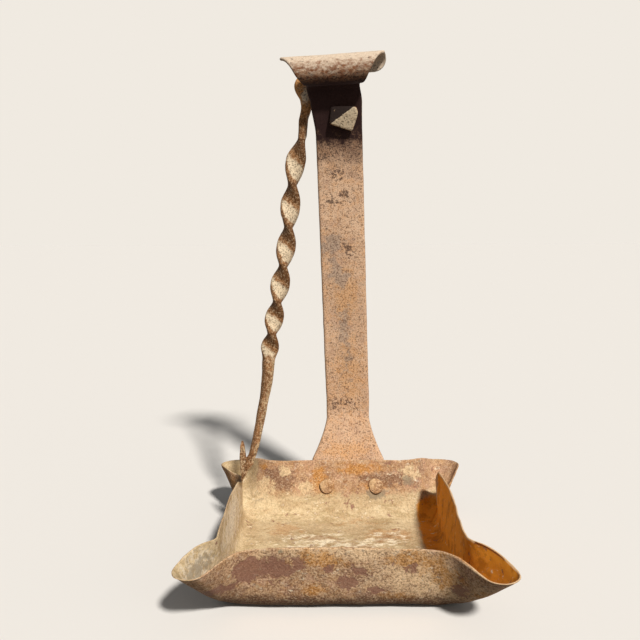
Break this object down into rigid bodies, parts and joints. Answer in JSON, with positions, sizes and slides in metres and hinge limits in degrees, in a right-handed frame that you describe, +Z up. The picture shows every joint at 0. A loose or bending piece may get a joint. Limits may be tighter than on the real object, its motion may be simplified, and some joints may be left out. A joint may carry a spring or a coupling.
{
  "type": "open-dish oil lamp",
  "caption": "Open-dish oil lamp in wrought iron: sheet dish with a wick spout at each corner, upright strap handle rolled over at its top, and a twisted hanger with a barbed spike.",
  "frame": {"origin": "centre of the dish's flat underside, on the surface it stands on", "axes": "+Z up along the handle, -Y to the front of the dish, +X to the right as seen from the front"},
  "size_m": [0.1447, 0.1591, 0.2601],
  "materials": {
    "sheet_iron": "hammered wrought-iron sheet under dry tan rust, with pale floor and brown patches",
    "strap_iron": "forged wrought iron under tan and purple-brown rust with fine dark pits",
    "rivet_iron": "hammered wrought iron under orange rust",
    "bar_iron": "twisted and filed wrought-iron bar under warm tan rust"
  },
  "bodies": {
    "lamp": {"dish": "sheet_iron", "handle_strap": "strap_iron", "rivet_left": "rivet_iron", "rivet_right": "rivet_iron"},
    "hanger": {"hanger": "bar_iron"}
  },
  "joints": [
    {"name": "hanger_swing", "type": "hinge", "parent": "lamp", "child": "hanger", "pos_m": [-0.00025, 0.04521, 0.2297], "axis": [0, 0.9932, 0.1167], "range_deg": [0, 250]}
  ]
}
